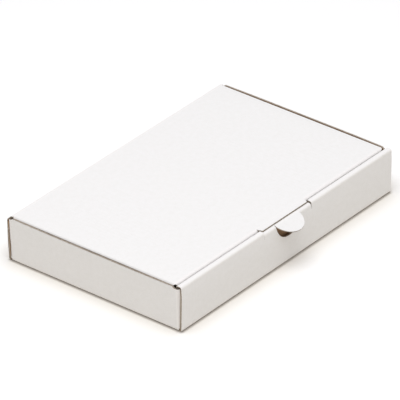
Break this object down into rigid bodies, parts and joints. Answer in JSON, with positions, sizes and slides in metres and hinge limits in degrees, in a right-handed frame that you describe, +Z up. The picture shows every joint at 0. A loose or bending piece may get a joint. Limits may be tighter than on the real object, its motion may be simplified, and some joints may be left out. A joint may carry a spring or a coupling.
{
  "type": "corrugated mailer box",
  "caption": "Flat mailer box folded from corrugated board, with a hinged tuck lid, a rolled front wall and a half-moon thumb tab.",
  "frame": {"origin": "middle of the underside of the base", "axes": "+X along the front wall to the right, +Y from the front wall with the thumb tab to the lid's fold, +Z up"},
  "size_m": [0.24, 0.1668, 0.0355],
  "materials": {
    "white_board": "matt white paper liner on thin corrugated board, brown at its cut edges and inside"
  },
  "bodies": {
    "tray": {"tray": "white_board"},
    "lid": {"lid": "white_board"}
  },
  "joints": [
    {"name": "lid_hinge", "type": "hinge", "parent": "tray", "child": "lid", "pos_m": [0, 0.078, 0.0355], "axis": [-1, 0, 0], "range_deg": [0, 180]}
  ]
}
